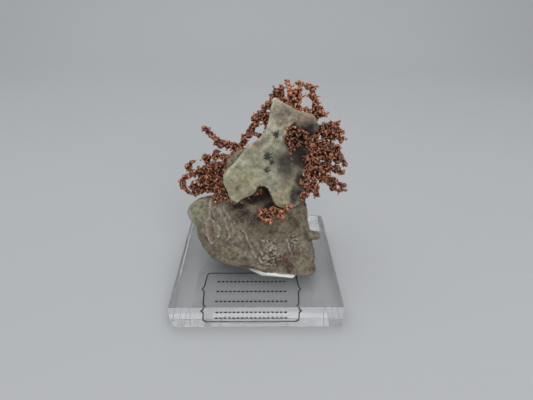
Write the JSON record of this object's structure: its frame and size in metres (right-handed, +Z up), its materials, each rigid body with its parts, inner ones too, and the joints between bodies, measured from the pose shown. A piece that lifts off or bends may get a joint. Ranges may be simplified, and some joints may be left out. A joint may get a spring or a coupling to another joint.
{
  "type": "native copper specimen",
  "caption": "Branching native copper growing on a pale and brown rock matrix, fixed with putty on a small clear square display slab.",
  "frame": {"origin": "middle of the slab's underside", "axes": "+X right and +Y away, as the viewer who faces the specimen sees them, +Z up"},
  "size_m": [0.0541, 0.0508, 0.0645],
  "materials": {
    "clear_slab": "clear cast acrylic, polished faces and edges",
    "clear_film": "thin clear label film printed in black with a ruled border",
    "white_putty": "soft white mounting putty",
    "rock": "waxy pale grey-green above, crusty brown-grey with pale veins below",
    "native_copper": "natural crystalline copper, red-brown tarnish with bright copper faces"
  },
  "bodies": {
    "root": {"display_base": "clear_slab", "label_film": "clear_film", "mounting_putty": "white_putty", "matrix_rock": "rock", "copper_left_fan": "native_copper", "copper_left_hook": "native_copper", "copper_left_loop": "native_copper", "copper_left_root": "native_copper", "copper_left_shoulder": "native_copper", "copper_left_twig": "native_copper", "copper_ridge_chain": "native_copper", "copper_ridge_fan": "native_copper", "copper_crest_left": "native_copper", "copper_crest_plate": "native_copper", "copper_crest_arch": "native_copper", "copper_right_upper": "native_copper", "copper_right_middle": "native_copper", "copper_right_lower": "native_copper", "copper_right_tail": "native_copper", "copper_pocket": "native_copper", "copper_edge": "native_copper", "copper_front_tuft": "native_copper", "copper_notch": "native_copper"}
  },
  "joints": []
}
